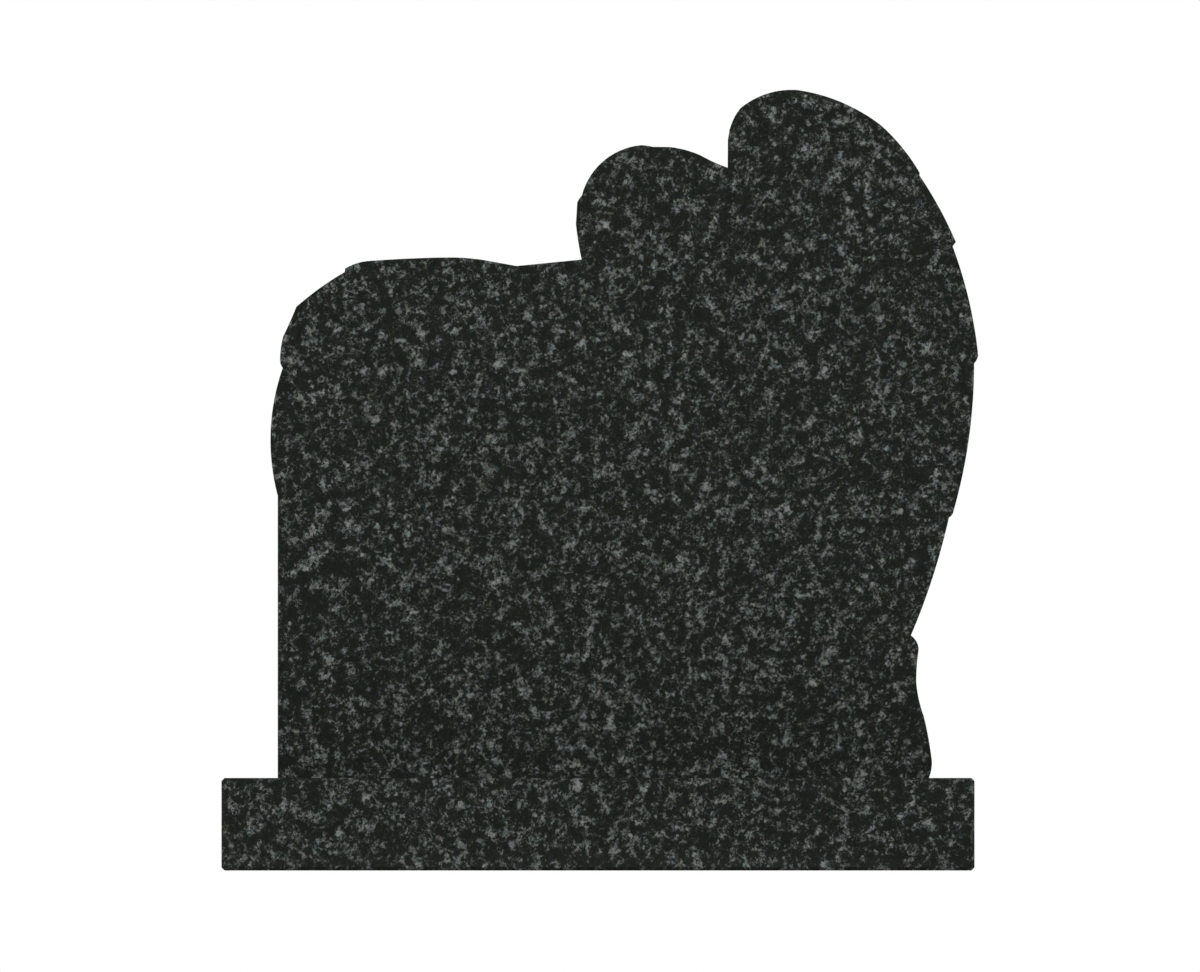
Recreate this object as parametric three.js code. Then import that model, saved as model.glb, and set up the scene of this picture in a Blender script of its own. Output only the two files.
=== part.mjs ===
// A polished granite headstone: a shaped upright tablet that stands on a low rectangular base.
// The tablet's left side swells up to a rolled shoulder, a heart with two lobes rises out of its rim, and the right
// side is a folded wing whose feather tips step down to a turned foot.
// Units are millimetres. +Z is up, the front faces -Y, and the origin is the middle of the base's underside.

import * as THREE from "three";

// The base is the common memorial size of 24 by 12 by 3 inches, and the tablet is 3 inches thick.
const BASE_WIDTH = 610;
const BASE_DEPTH = 305;
const BASE_HEIGHT = 75;
const TABLET_THICKNESS = 75;

// The base's edges are taken off at 45 degrees. The tablet's edges are left sharp.
const BASE_ARRIS = 2.5;
const TABLET_ARRIS = 0;

// The longest straight facet along a curved edge, and the most that two neighbours turn, in radians.
const FACET_LENGTH = 4.5;
const FACET_TURN = 0.1;

const GRANITE_COLOUR = 0x2c302d;
const POLISH_ROUGHNESS = 0.15;

// The tablet's outline, walked from its bottom left corner up the left side, over the top and down the right side.
// A stretch is [x, z, rise]: the point where it ends, from the middle of the base's top, and how far its arc bows
// out of the stone. A rise of 0 is a straight line, and a negative rise bows in.
const BOTTOM_LEFT = [-259.4, 0];

const LEFT_SIDE = [
  [-259.4, 228.4, 0], // plumb edge
  [-255.4, 332.1, 7.8], // swell, up to the notch under the shoulder
];

const SHOULDER = [
  [-257.6, 338.9, 0.6], // underside of the roll
  [-255.0, 357.8, 0.6], // its nose
  [-244.4, 381.6, -0.3],
  [-205.2, 409.8, 1.2], // slope up to the rim
];

const RIM = [
  [-204.8, 412.7, 0], // low step on to the rim
  [-187.9, 418.6, 0.9],
  [-123.9, 421.6, 0.5], // crest
  [-92.3, 419.5, 0.7],
  [-65.9, 414.7, 0], // dip
  [-13.3, 419.9, 0], // root of the heart
];

const HEART_LEFT_LOBE = [
  [-17.9, 448.7, 0.4], // belly
  [-16.8, 466.4, 0],
  [-13.1, 471.9, 0.2],
  [34.8, 512.6, 9.9], // crown
  [44.6, 511.2, 0.3],
  [58.3, 511.1, 0],
  [82.6, 504.6, 0.9],
  [105.0, 494.3, -0.5], // cleft
];

const HEART_RIGHT_LOBE = [
  [105.2, 517.0, 0], // plumb edge out of the cleft
  [106.6, 525.2, 0],
  [115.3, 542.5, 1.0],
  [161.2, 557.3, 4.6], // crown, the tablet's highest point
  [229.2, 528.7, 4.8],
];

// Each feather of the wing runs down to its tip, and then steps in to where the next one starts.
const WING_FEATHERS = [
  { tip: [260.7, 490.0, 2.0], step: [260.3, 488.2, 0] },
  { tip: [289.9, 434.1, 1.5], step: [287.3, 430.6, 0] },
  { tip: [308.0, 342.2, 2.9], step: [304.7, 335.8, 0.5] },
  { tip: [287.6, 214.6, 4.3], step: [284.3, 210.9, 0.4] },
];

const FOOT = [
  [253.5, 115.5, 2.3], // the last feather ends in a notch
  [259.8, 104.4, 1.4], // knob
  [257.8, 77.7, -0.5], // neck
  [264.1, 49.4, -1.0],
  [270.5, 13.7, 0.5], // swell of the foot
  [268.1, 0, 0.7],
];

const TABLET_OUTLINE = [
  ...LEFT_SIDE,
  ...SHOULDER,
  ...RIM,
  ...HEART_LEFT_LOBE,
  ...HEART_RIGHT_LOBE,
  ...WING_FEATHERS.flatMap((feather) => [feather.tip, feather.step]),
  ...FOOT,
];

// The points along one stretch, without its first. The outside of the stone is on the left of the walk.
function stretchPoints(from, to, rise) {
  if (rise === 0) return [to];
  const chord = to.clone().sub(from);
  const span = chord.length();
  const outwards = new THREE.Vector2(-chord.y, chord.x).divideScalar(span);
  const radius = (span * span / 4 + rise * rise) / (2 * Math.abs(rise));
  const centre = from.clone().lerp(to, 0.5).addScaledVector(outwards, rise - Math.sign(rise) * radius);
  const startAngle = from.clone().sub(centre).angle();
  const endAngle = to.clone().sub(centre).angle();
  const arc = new THREE.ArcCurve(centre.x, centre.y, radius, startAngle, endAngle, rise > 0);
  const turn = 2 * Math.asin(span / (2 * radius));
  const facets = Math.ceil(Math.max(radius * turn / FACET_LENGTH, turn / FACET_TURN));
  return [...arc.getSpacedPoints(facets).slice(1, -1), to];
}

function tabletShape() {
  const points = [new THREE.Vector2(...BOTTOM_LEFT)];
  for (const [x, z, rise] of TABLET_OUTLINE) {
    points.push(...stretchPoints(points.at(-1), new THREE.Vector2(x, z), rise));
  }
  return new THREE.Shape(points);
}

// The base seen from the front: a rectangle with its corners taken off.
function baseShape() {
  const side = BASE_WIDTH / 2;
  const innerSide = side - BASE_ARRIS;
  const innerTop = BASE_HEIGHT - BASE_ARRIS;
  return new THREE.Shape()
    .moveTo(-innerSide, 0)
    .lineTo(innerSide, 0)
    .lineTo(side, BASE_ARRIS)
    .lineTo(side, innerTop)
    .lineTo(innerSide, BASE_HEIGHT)
    .lineTo(-innerSide, BASE_HEIGHT)
    .lineTo(-side, innerTop)
    .lineTo(-side, BASE_ARRIS)
    .closePath();
}

// A slab cut to an outline in X and Z, centred on Y = 0, with an arris round its front and back faces or sharp edges.
function slab(name, shape, thickness, arris) {
  const geometry = new THREE.ExtrudeGeometry(shape, {
    depth: thickness - 2 * arris,
    bevelEnabled: arris > 0,
    bevelThickness: arris,
    bevelSize: arris,
    bevelOffset: -arris,
    bevelSegments: 1,
  });
  const granite = new THREE.MeshStandardMaterial({
    color: GRANITE_COLOUR,
    roughness: POLISH_ROUGHNESS,
    metalness: 0,
  });
  const mesh = new THREE.Mesh(geometry, granite);
  mesh.name = name;
  mesh.rotation.x = Math.PI / 2;
  mesh.position.y = thickness / 2 - arris;
  return mesh;
}

const base = slab("base", baseShape(), BASE_DEPTH, BASE_ARRIS);
const tablet = slab("tablet", tabletShape(), TABLET_THICKNESS, TABLET_ARRIS);
tablet.position.z = BASE_HEIGHT;

const headstone = new THREE.Group();
headstone.add(base, tablet);

export default headstone;
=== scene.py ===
# A polished granite headstone, seen square from the front, on a plain pale floor.
# Both stones keep the form of their solids. Their flat faces are made whole and their arrises are eased.
# The granite runs all through the stone, so its grain carries on round every edge.
# Lengths are metres, except that the sizes in the grain are millimetres.

import math

import bmesh
import bpy
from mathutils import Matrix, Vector


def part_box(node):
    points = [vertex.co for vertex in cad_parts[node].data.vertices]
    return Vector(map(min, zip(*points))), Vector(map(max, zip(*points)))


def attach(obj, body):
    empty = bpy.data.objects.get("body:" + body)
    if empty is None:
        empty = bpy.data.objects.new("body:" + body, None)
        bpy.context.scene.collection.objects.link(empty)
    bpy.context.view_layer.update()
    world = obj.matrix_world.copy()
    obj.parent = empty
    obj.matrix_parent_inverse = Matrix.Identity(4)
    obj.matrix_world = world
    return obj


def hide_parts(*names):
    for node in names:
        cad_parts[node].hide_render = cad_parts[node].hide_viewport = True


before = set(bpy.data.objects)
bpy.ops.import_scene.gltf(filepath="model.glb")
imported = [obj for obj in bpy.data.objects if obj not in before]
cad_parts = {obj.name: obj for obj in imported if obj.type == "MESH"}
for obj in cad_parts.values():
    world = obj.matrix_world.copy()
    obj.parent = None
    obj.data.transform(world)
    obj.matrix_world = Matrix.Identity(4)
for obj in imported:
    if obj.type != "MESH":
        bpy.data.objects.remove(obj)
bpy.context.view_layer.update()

# The photograph's frame, and where the base shows in it, in pixels.
PHOTO_WIDTH = 1200
PHOTO_HEIGHT = 972
BASE_LEFT_COLUMN = 221.45
BASE_RIGHT_COLUMN = 974.54
BASE_TOP_ROW = 777.95
CAMERA_DISTANCE = 3.0

# How the stones' meshes are cleaned and their arrises eased. A bed's faces look down more than BED_SLOPE.
WELD_DISTANCE = 1e-6
FLAT_ANGLE = math.radians(0.02)
ARRIS_ANGLE = math.radians(12.0)
EASE = 0.0004
EASE_SEGMENTS = 3
ROUND_PROFILE = 0.5
BED_SLOPE = -0.99

# The order of a stone's two finishes.
POLISHED = 0
SAWN = 1

# The quarry block lies askew, so that no face is cut along the grain's own axes. The turn is in radians.
MILLIMETRES_IN_A_METRE = 1000.0
BLOCK_TURN = (0.6, 0.4, 0.9)

# Where in the quarry block each stone was cut, in millimetres, so that their grains differ.
TABLET_BLOCK = (0.0, 0.0, 0.0)
BASE_BLOCK = (310.0, 520.0, 170.0)

# Every noise runs from 0 to 1. The broad ones are smooth.
NOISE_MIDDLE = 0.5
BROAD_DETAIL = 1.0
BROAD_ROUGHNESS = 0.5

# How far the edges of the crystals are pushed about.
RAGGED_SIZE = 3.5
RAGGED_REACH = 4.0
RAGGED_DETAIL = 4.0
RAGGED_ROUGHNESS = 0.64

# The grain's sizes, and how much each part of it counts in the stone's paleness.
BLACK_GRAINS = [
    {"size": 8.9, "place": (0.0, 0.0, 0.0), "lift": 0.0},
    {"size": 8.9, "place": (40.0, 70.0, -25.0), "lift": 0.0},
    {"size": 5.6, "place": (92.0, 161.0, -57.0), "lift": 0.03},
]
BLACK_DETAIL = 3.0
BLACK_ROUGHNESS = 0.71
BLACK_WEIGHT = 0.8
CRYSTAL_SIZE = 1.7
CRYSTAL_PULL = 0.35
CRYSTAL_WEIGHT = 0.065
LINE_DETAIL = 3.0
LINE_ROUGHNESS = 0.6
VEIN_SIZE = 5.5
VEIN_WIDTH = 0.25
VEIN_WEIGHT = 0.04
THREAD_SIZE = 2.1
THREAD_WIDTH = 0.17
THREAD_WEIGHT = 0.066
PATCH_SIZE = 15.0
PATCH_WEIGHT = 0.088

# The whole pale grains. Their radius and its full core are shares of their cell and of the radius.
PALE_GRAIN_CELL = 10.5
PALE_GRAIN_RADIUS = 0.26
PALE_GRAIN_CORE = 0.7
PALE_GRAIN_SHARE = 0.3
PALE_GRAIN_WEIGHT = 0.051

# Paleness and reflectance of the minerals, from the darkest to the palest.
MINERALS = [
    (0.388, 0.0095),
    (0.487, 0.0117),
    (0.516, 0.0122),
    (0.5388, 0.0165),
    (0.555, 0.03),
    (0.58, 0.064),
    (0.6255, 0.116),
    (0.654, 0.157),
]
DARK_PALENESS = 0.492
LIGHT_PALENESS = 0.592

# The stone's faint colour, greener in the black minerals, and how far it drifts from place to place.
DARK_TINT = (0.857, 1.0, 0.851, 1.0)
LIGHT_TINT = (0.915, 1.0, 0.954, 1.0)
DRIFT_SIZE = 6.0
DRIFT_DETAIL = 2.0
DRIFT = (0.48, 0.20, 0.50)

# The polish: feldspar takes it better than the black minerals, and the face keeps a faint wave.
POLISH_SPECULAR = 0.375
DARK_ROUGHNESS = 0.03
LIGHT_ROUGHNESS = 0.02
FACE_WAVE_SIZE = 28.0
FACE_WAVE_HEIGHT = 0.00001

# The sawn beds: dulled by dust, and scored along the stone by the saw.
SAWN_DUST = (0.11, 0.115, 0.11, 1.0)
SAWN_DUST_SHARE = 0.6
SAWN_ROUGHNESS = 0.75
SAW_MARK_SPACING = 0.003
SAW_MARK_DEPTH = 0.0002
SAW_MARK_WANDER = 0.6
SAW_MARK_DETAIL = 2.0
WAVE_TEXTURE_PERIOD = math.pi / 10

# Light, in watts, metres and degrees. Azimuth 0 is in front, and 90 on the right.
SOFTBOX_DISTANCE = 4.5
SOFTBOX_AIM = Vector((0.0, 0.0, 0.3))
FRONT_SOFTBOX = {"elevation": 9.5, "width": 2.4, "height": 1.9, "power": 133.0}
FRONT_AZIMUTH = 24.0
BACK_SOFTBOX = {"elevation": 8.0, "width": 2.4, "height": 1.4, "power": 82.0}
BACK_AZIMUTH = 156.0

# The room's mean glow, its share of that overhead and in the polish, and the floor.
WHITE = (1.0, 1.0, 1.0, 1.0)
ROOM_GLOW = 0.4
OVERHEAD_SHARE = 0.5
ROOM_IN_POLISH = 0.55
FLOOR_SIZE = 9.0
FLOOR_COLOUR = (0.72, 0.72, 0.72, 1.0)
FLOOR_IN_POLISH = (0.1, 0.1, 0.1, 1.0)


def add_object(name, data):
    """A new object in the scene."""
    thing = bpy.data.objects.new(name, data)
    bpy.context.scene.collection.objects.link(thing)
    return thing


def add_node(tree, kind, inputs=(), **settings):
    """Adds a node with its settings, and links or sets its inputs by name or number."""
    node = tree.nodes.new(kind)
    for name, value in settings.items():
        setattr(node, name, value)
    for key, value in dict(inputs).items():
        if isinstance(value, bpy.types.NodeSocket):
            tree.links.new(value, node.inputs[key])
        else:
            node.inputs[key].default_value = value
    return node


def calculate(tree, operation, *values):
    return add_node(tree, "ShaderNodeMath", enumerate(values), operation=operation).outputs[0]


def scale_vector(tree, vector, scale):
    inputs = {0: vector, "Scale": scale}
    return add_node(tree, "ShaderNodeVectorMath", inputs, operation="SCALE").outputs[0]


def combine_vectors(tree, operation, first, second):
    return add_node(tree, "ShaderNodeVectorMath", {0: first, 1: second}, operation=operation).outputs[0]


def object_coordinates(tree):
    return add_node(tree, "ShaderNodeTexCoord").outputs["Object"]


def add_noise(tree, at, size, detail, roughness):
    inputs = {"Vector": at, "Scale": 1.0 / size, "Detail": detail, "Roughness": roughness}
    return add_node(tree, "ShaderNodeTexNoise", inputs)


def broad_noise(tree, at, size):
    return add_noise(tree, at, size, BROAD_DETAIL, BROAD_ROUGHNESS).outputs["Fac"]


def add_cells(tree, at, size):
    return add_node(tree, "ShaderNodeTexVoronoi", {"Vector": at, "Scale": 1.0 / size})


def centre_noise(tree, colour):
    """A noise's colour as a vector about nought."""
    return combine_vectors(tree, "SUBTRACT", colour, (NOISE_MIDDLE, NOISE_MIDDLE, NOISE_MIDDLE))


def weighted_sum(tree, *parts):
    """The sum of (value, weight) pairs."""
    total = 0.0
    for value, weight in parts:
        total = calculate(tree, "MULTIPLY_ADD", value, weight, total)
    return total


def map_range(tree, value, start, end, low, high):
    """Goes evenly from low to high as the value goes from start to end."""
    inputs = {"Value": value, "From Min": start, "From Max": end, "To Min": low, "To Max": high}
    return add_node(tree, "ShaderNodeMapRange", inputs).outputs[0]


def fade(tree, value, full, none):
    """1 where the value is at or past full, and 0 where it is at or past none."""
    inputs = {"Value": value, "From Min": none, "From Max": full}
    return add_node(tree, "ShaderNodeMapRange", inputs, interpolation_type="SMOOTHSTEP").outputs[0]


def first_channel(tree, colour):
    return add_node(tree, "ShaderNodeSeparateColor", {0: colour}).outputs[0]


def mix_colours(tree, share, first, second, blend="MIX"):
    inputs = {0: share, 6: first, 7: second}
    return add_node(tree, "ShaderNodeMix", inputs, data_type="RGBA", blend_type=blend).outputs[2]


def add_ramp(tree, value, stops):
    """A colour ramp through (place, grey) stops."""
    node = add_node(tree, "ShaderNodeValToRGB", {"Fac": value})
    elements = node.color_ramp.elements
    elements.remove(elements[1])
    elements[0].position = stops[0][0]
    for place, _ in stops[1:]:
        elements.new(place)
    for element, (_, grey) in zip(elements, stops):
        element.color = (grey, grey, grey, 1.0)
    return node.outputs["Color"]


def stone_position(tree, block):
    """The point inside the block of stone that a piece was cut from, in millimetres."""
    turn = {"Vector": object_coordinates(tree), "Rotation": BLOCK_TURN}
    turned = add_node(tree, "ShaderNodeVectorRotate", turn, rotation_type="EULER_XYZ").outputs[0]
    return combine_vectors(tree, "ADD", scale_vector(tree, turned, MILLIMETRES_IN_A_METRE), block)


def ragged_position(tree, at):
    """The point pushed about a little, so that crystals get ragged edges."""
    push = add_noise(tree, at, RAGGED_SIZE, RAGGED_DETAIL, RAGGED_ROUGHNESS).outputs["Color"]
    return combine_vectors(tree, "ADD", at, scale_vector(tree, centre_noise(tree, push), RAGGED_REACH))


def between_black_grains(tree, at):
    """High where a point lies clear of every set of black grains."""
    lowest = 1.0
    for grains in BLACK_GRAINS:
        place = combine_vectors(tree, "ADD", at, grains["place"])
        level = add_noise(tree, place, grains["size"], BLACK_DETAIL, BLACK_ROUGHNESS).outputs["Fac"]
        lowest = calculate(tree, "MINIMUM", lowest, calculate(tree, "ADD", level, grains["lift"]))
    return lowest


def wandering_lines(tree, at, size, width):
    """Lines that wander through the stone, 1 in their middle."""
    level = add_noise(tree, at, size, LINE_DETAIL, LINE_ROUGHNESS).outputs["Fac"]
    away = calculate(tree, "ABSOLUTE", calculate(tree, "SUBTRACT", level, NOISE_MIDDLE))
    return fade(tree, away, 0.0, width)


def pale_grains(tree, at):
    """A few whole grains of feldspar, 1 in their middle."""
    cell = add_cells(tree, at, PALE_GRAIN_CELL)
    chosen = calculate(tree, "LESS_THAN", first_channel(tree, cell.outputs["Color"]), PALE_GRAIN_SHARE)
    shape = fade(tree, cell.outputs["Distance"], PALE_GRAIN_CORE * PALE_GRAIN_RADIUS, PALE_GRAIN_RADIUS)
    return calculate(tree, "MULTIPLY", shape, chosen)


def paleness(tree, at):
    """How pale the stone is at a point, from black mineral to bright feldspar."""
    ragged = ragged_position(tree, at)
    crystal = add_cells(tree, ragged, CRYSTAL_SIZE)
    inwards = combine_vectors(tree, "SUBTRACT", crystal.outputs["Position"], ragged)
    crystallised = combine_vectors(tree, "ADD", ragged, scale_vector(tree, inwards, CRYSTAL_PULL))
    return weighted_sum(
        tree,
        (between_black_grains(tree, crystallised), BLACK_WEIGHT),
        (first_channel(tree, crystal.outputs["Color"]), CRYSTAL_WEIGHT),
        (wandering_lines(tree, ragged, VEIN_SIZE, VEIN_WIDTH), VEIN_WEIGHT),
        (wandering_lines(tree, ragged, THREAD_SIZE, THREAD_WIDTH), THREAD_WEIGHT),
        (pale_grains(tree, ragged), PALE_GRAIN_WEIGHT),
        (broad_noise(tree, at, PATCH_SIZE), PATCH_WEIGHT),
    )


def stone_tint(tree, at, pale):
    """The stone's faint colour, which drifts from place to place."""
    tint = mix_colours(tree, fade(tree, pale, LIGHT_PALENESS, DARK_PALENESS), DARK_TINT, LIGHT_TINT)
    noise = add_noise(tree, at, DRIFT_SIZE, DRIFT_DETAIL, BROAD_ROUGHNESS).outputs["Color"]
    change = combine_vectors(tree, "MULTIPLY", centre_noise(tree, noise), DRIFT)
    drift = combine_vectors(tree, "ADD", change, (1.0, 1.0, 1.0))
    return combine_vectors(tree, "MULTIPLY", tint, drift)


def stone_colour(tree, at, pale):
    grey = add_ramp(tree, pale, MINERALS)
    return mix_colours(tree, 1.0, grey, stone_tint(tree, at, pale), "MULTIPLY")


def new_material(name):
    """A new material, with its node tree and its main shader."""
    material = bpy.data.materials.new(name)
    material.use_nodes = True
    tree = material.node_tree
    return material, tree, tree.nodes["Principled BSDF"]


def set_relief(tree, shader, height, distance):
    bump = add_node(tree, "ShaderNodeBump", {"Height": height, "Distance": distance})
    tree.links.new(bump.outputs["Normal"], shader.inputs["Normal"])


def polished_granite(name, block):
    """Polished dark granite: black minerals, with grey feldspar in clusters, veins and threads."""
    material, tree, shader = new_material(name)
    at = stone_position(tree, block)
    pale = paleness(tree, at)
    tree.links.new(stone_colour(tree, at, pale), shader.inputs["Base Color"])
    roughness = map_range(tree, pale, DARK_PALENESS, LIGHT_PALENESS, DARK_ROUGHNESS, LIGHT_ROUGHNESS)
    tree.links.new(roughness, shader.inputs["Roughness"])
    shader.inputs["Specular IOR Level"].default_value = POLISH_SPECULAR
    set_relief(tree, shader, broad_noise(tree, at, FACE_WAVE_SIZE), FACE_WAVE_HEIGHT)
    return material


def sawn_granite(name, block):
    """The same stone where it is only sawn: the beds that the tablet and the base stand on."""
    material, tree, shader = new_material(name)
    at = stone_position(tree, block)
    pale = paleness(tree, at)
    dusty = mix_colours(tree, SAWN_DUST_SHARE, stone_colour(tree, at, pale), SAWN_DUST)
    tree.links.new(dusty, shader.inputs["Base Color"])
    shader.inputs["Roughness"].default_value = SAWN_ROUGHNESS
    saw_marks = {
        "Vector": object_coordinates(tree),
        "Scale": WAVE_TEXTURE_PERIOD / SAW_MARK_SPACING,
        "Distortion": SAW_MARK_WANDER,
        "Detail": SAW_MARK_DETAIL,
    }
    marks = add_node(tree, "ShaderNodeTexWave", saw_marks, bands_direction="X").outputs["Fac"]
    set_relief(tree, shader, marks, SAW_MARK_DEPTH)
    return material


def ease_arrises(shape):
    """Makes the flat faces whole, and the edges between them a small round."""
    bmesh.ops.remove_doubles(shape, verts=shape.verts, dist=WELD_DISTANCE)
    bmesh.ops.dissolve_limit(shape, angle_limit=FLAT_ANGLE, verts=shape.verts, edges=shape.edges)
    arrises = [edge for edge in shape.edges if edge.calc_face_angle() > ARRIS_ANGLE]
    bmesh.ops.bevel(
        shape,
        geom=arrises,
        offset=EASE,
        segments=EASE_SEGMENTS,
        profile=ROUND_PROFILE,
        affect="EDGES",
        clamp_overlap=True,
    )
    shape.normal_update()


def assign_finishes(shape):
    """Polished all over, but for the bed."""
    for face in shape.faces:
        face.smooth = True
        face.material_index = SAWN if face.normal.z < BED_SLOPE else POLISHED


def stone_mesh(node, block):
    """A copy of a solid's mesh, eased and with its two finishes."""
    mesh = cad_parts[node].data.copy()
    mesh.name = node + "_stone"
    mesh.materials.clear()
    mesh.materials.append(polished_granite(node + "_polished", block))
    mesh.materials.append(sawn_granite(node + "_sawn", block))
    shape = bmesh.new()
    shape.from_mesh(mesh)
    ease_arrises(shape)
    assign_finishes(shape)
    shape.to_mesh(mesh)
    shape.free()
    return mesh


def finished_stone(node, block):
    """The piece that stands for a solid."""
    piece = add_object(node + "_stone", stone_mesh(node, block))
    piece.modifiers.new("even_normals", "WEIGHTED_NORMAL")
    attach(piece, "root")
    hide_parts(node)


def make_camera():
    """The photograph's view: square on, without perspective."""
    low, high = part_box("base")
    pixel = (high.x - low.x) / (BASE_RIGHT_COLUMN - BASE_LEFT_COLUMN)
    base_middle_column = (BASE_LEFT_COLUMN + BASE_RIGHT_COLUMN) / 2
    camera = add_object("camera", bpy.data.cameras.new("camera"))
    camera.data.type = "ORTHO"
    camera.data.ortho_scale = PHOTO_WIDTH * pixel
    camera.location.x = (PHOTO_WIDTH / 2 - base_middle_column) * pixel
    camera.location.y = -CAMERA_DISTANCE
    camera.location.z = high.z + (BASE_TOP_ROW - PHOTO_HEIGHT / 2) * pixel
    camera.rotation_euler.x = math.radians(90.0)
    bpy.context.scene.camera = camera


def floor_material():
    """Plain and pale, but dimmer in the stone's polish than it is to look at."""
    material, tree, shader = new_material("floor")
    mirrored = add_node(tree, "ShaderNodeLightPath").outputs["Is Glossy Ray"]
    colour = mix_colours(tree, mirrored, FLOOR_COLOUR, FLOOR_IN_POLISH)
    tree.links.new(colour, shader.inputs["Base Color"])
    shader.inputs["Roughness"].default_value = 1.0
    shader.inputs["Specular IOR Level"].default_value = 0.0
    return material


def make_floor():
    half = FLOOR_SIZE / 2
    corners = [(-half, -half, 0.0), (half, -half, 0.0), (half, half, 0.0), (-half, half, 0.0)]
    mesh = bpy.data.meshes.new("floor")
    mesh.from_pydata(corners, [], [(0, 1, 2, 3)])
    mesh.materials.append(floor_material())
    add_object("floor", mesh)


def make_softbox(name, azimuth, elevation, width, height, power):
    """A softbox turned to the stone, which doesn't show as a white patch in the polish."""
    around = math.radians(azimuth)
    up = math.radians(elevation)
    way = Vector((math.sin(around) * math.cos(up), -math.cos(around) * math.cos(up), math.sin(up)))
    light = bpy.data.lights.new(name, "AREA")
    light.shape = "RECTANGLE"
    light.size = width
    light.size_y = height
    light.energy = power
    lamp = add_object(name, light)
    lamp.location = SOFTBOX_AIM + way * SOFTBOX_DISTANCE
    lamp.rotation_euler = way.to_track_quat("Z", "Y").to_euler()
    lamp.visible_glossy = False


def make_softbox_pair(name, azimuth, softbox):
    make_softbox(name + "_left", -azimuth, **softbox)
    make_softbox(name + "_right", azimuth, **softbox)


def room_glow(tree, rays):
    """Nothing behind the camera and most behind the stone, dimmer overhead and in the polish."""
    way = add_node(tree, "ShaderNodeTexCoord").outputs["Generated"]
    parts = add_node(tree, "ShaderNodeSeparateXYZ", {0: way}).outputs
    level = map_range(tree, parts["Y"], -1.0, 1.0, 0.0, 2.0 * ROOM_GLOW)
    overhead = map_range(tree, parts["Z"], 0.0, 1.0, 1.0, OVERHEAD_SHARE)
    mirrored = map_range(tree, rays["Is Glossy Ray"], 0.0, 1.0, 1.0, ROOM_IN_POLISH)
    return calculate(tree, "MULTIPLY", calculate(tree, "MULTIPLY", level, overhead), mirrored)


def make_world():
    """A white surround to look at, and a dim room to light the stone and show in its polish."""
    world = bpy.data.worlds.new("studio")
    world.use_nodes = True
    tree = world.node_tree
    tree.nodes.clear()
    rays = add_node(tree, "ShaderNodeLightPath").outputs
    room = add_node(tree, "ShaderNodeBackground", {"Color": WHITE, "Strength": room_glow(tree, rays)})
    surround = add_node(tree, "ShaderNodeBackground", {"Color": WHITE, "Strength": 1.0})
    choice = {0: rays["Is Camera Ray"], 1: room.outputs[0], 2: surround.outputs[0]}
    both = add_node(tree, "ShaderNodeMixShader", choice)
    add_node(tree, "ShaderNodeOutputWorld", {"Surface": both.outputs[0]})
    bpy.context.scene.world = world


make_camera()
make_world()
make_floor()
make_softbox_pair("front", FRONT_AZIMUTH, FRONT_SOFTBOX)
make_softbox_pair("back", BACK_AZIMUTH, BACK_SOFTBOX)
bpy.context.scene.view_settings.view_transform = "Standard"

finished_stone("tablet", TABLET_BLOCK)
finished_stone("base", BASE_BLOCK)
